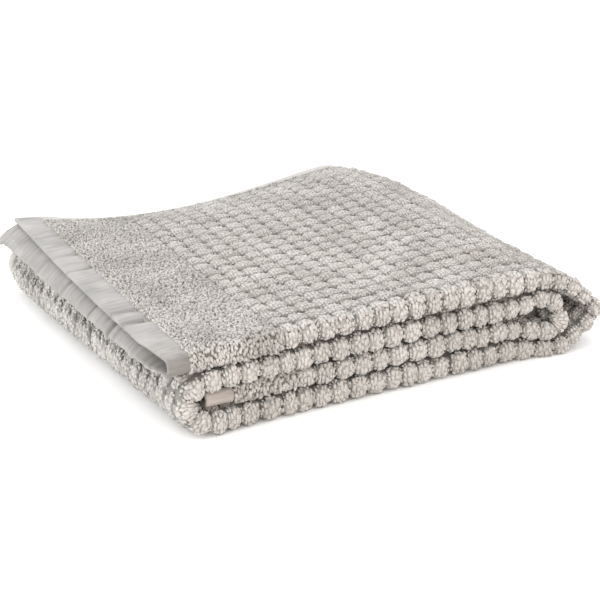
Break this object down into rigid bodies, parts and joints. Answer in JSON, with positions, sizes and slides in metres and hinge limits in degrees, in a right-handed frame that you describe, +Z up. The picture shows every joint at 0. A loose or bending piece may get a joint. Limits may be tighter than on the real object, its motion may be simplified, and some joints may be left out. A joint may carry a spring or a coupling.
{
  "type": "folded hand towel",
  "caption": "Terry hand towel with raised square tufts and plain woven hems, folded lengthwise and wrapped into a loose flat stack with rounded side folds.",
  "frame": {"origin": "on the floor, in the middle of the flat underside", "axes": "+X along the front edge towards the wide rounded folds on the right, +Y from the long fold at the front to the selvedges at the back, +Z up"},
  "size_m": [0.2898, 0.2579, 0.0552],
  "materials": {
    "terry": "looped cotton pile, matt"
  },
  "bodies": {
    "root": {"towel": "terry"}
  },
  "joints": []
}
